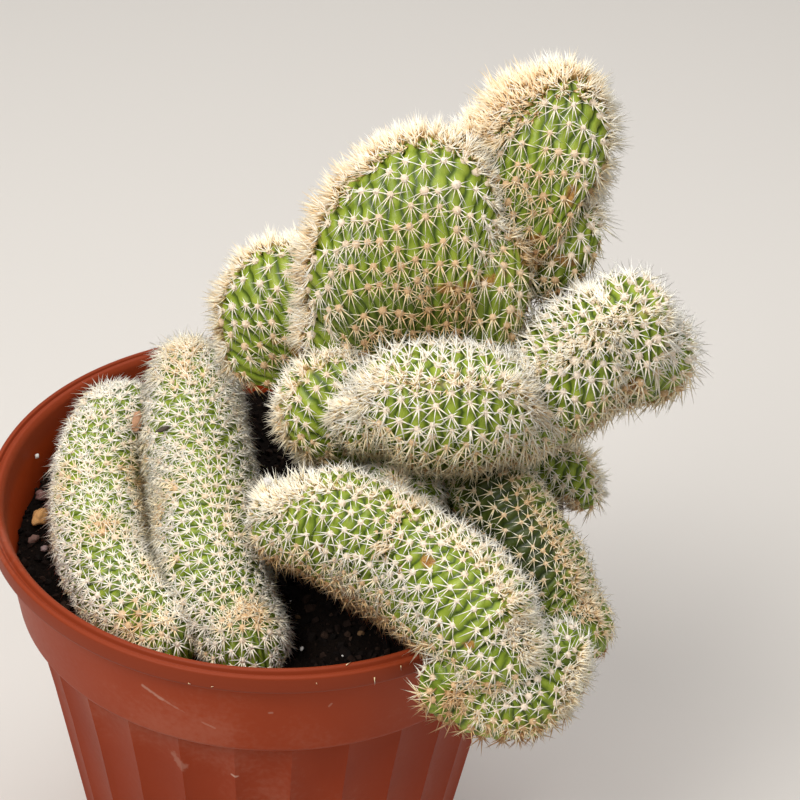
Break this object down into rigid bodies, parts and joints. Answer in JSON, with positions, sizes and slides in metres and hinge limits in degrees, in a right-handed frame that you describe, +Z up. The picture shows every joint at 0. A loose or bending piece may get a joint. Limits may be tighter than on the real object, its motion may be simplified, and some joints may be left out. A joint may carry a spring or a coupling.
{
  "type": "potted crested cactus",
  "caption": "Crested spiny cactus with folded, ribbed, fan-shaped lobes, one group leaning over the rim, standing in soil in a fluted terracotta-coloured plastic nursery pot.",
  "frame": {"origin": "centre of the pot's flat underside", "axes": "+Z up along the pot's axis; -Y is the front, where the lower lobe hangs over the rim to the right; +X is to the right seen from the front"},
  "size_m": [0.1684, 0.1463, 0.2259],
  "materials": {
    "terracotta_plastic": "satin",
    "potting_soil": "matte",
    "cactus_skin": "satin"
  },
  "bodies": {
    "root": {"pot": "terracotta_plastic", "soil": "potting_soil", "left_stem": "cactus_skin", "main_stem": "cactus_skin"}
  },
  "joints": []
}
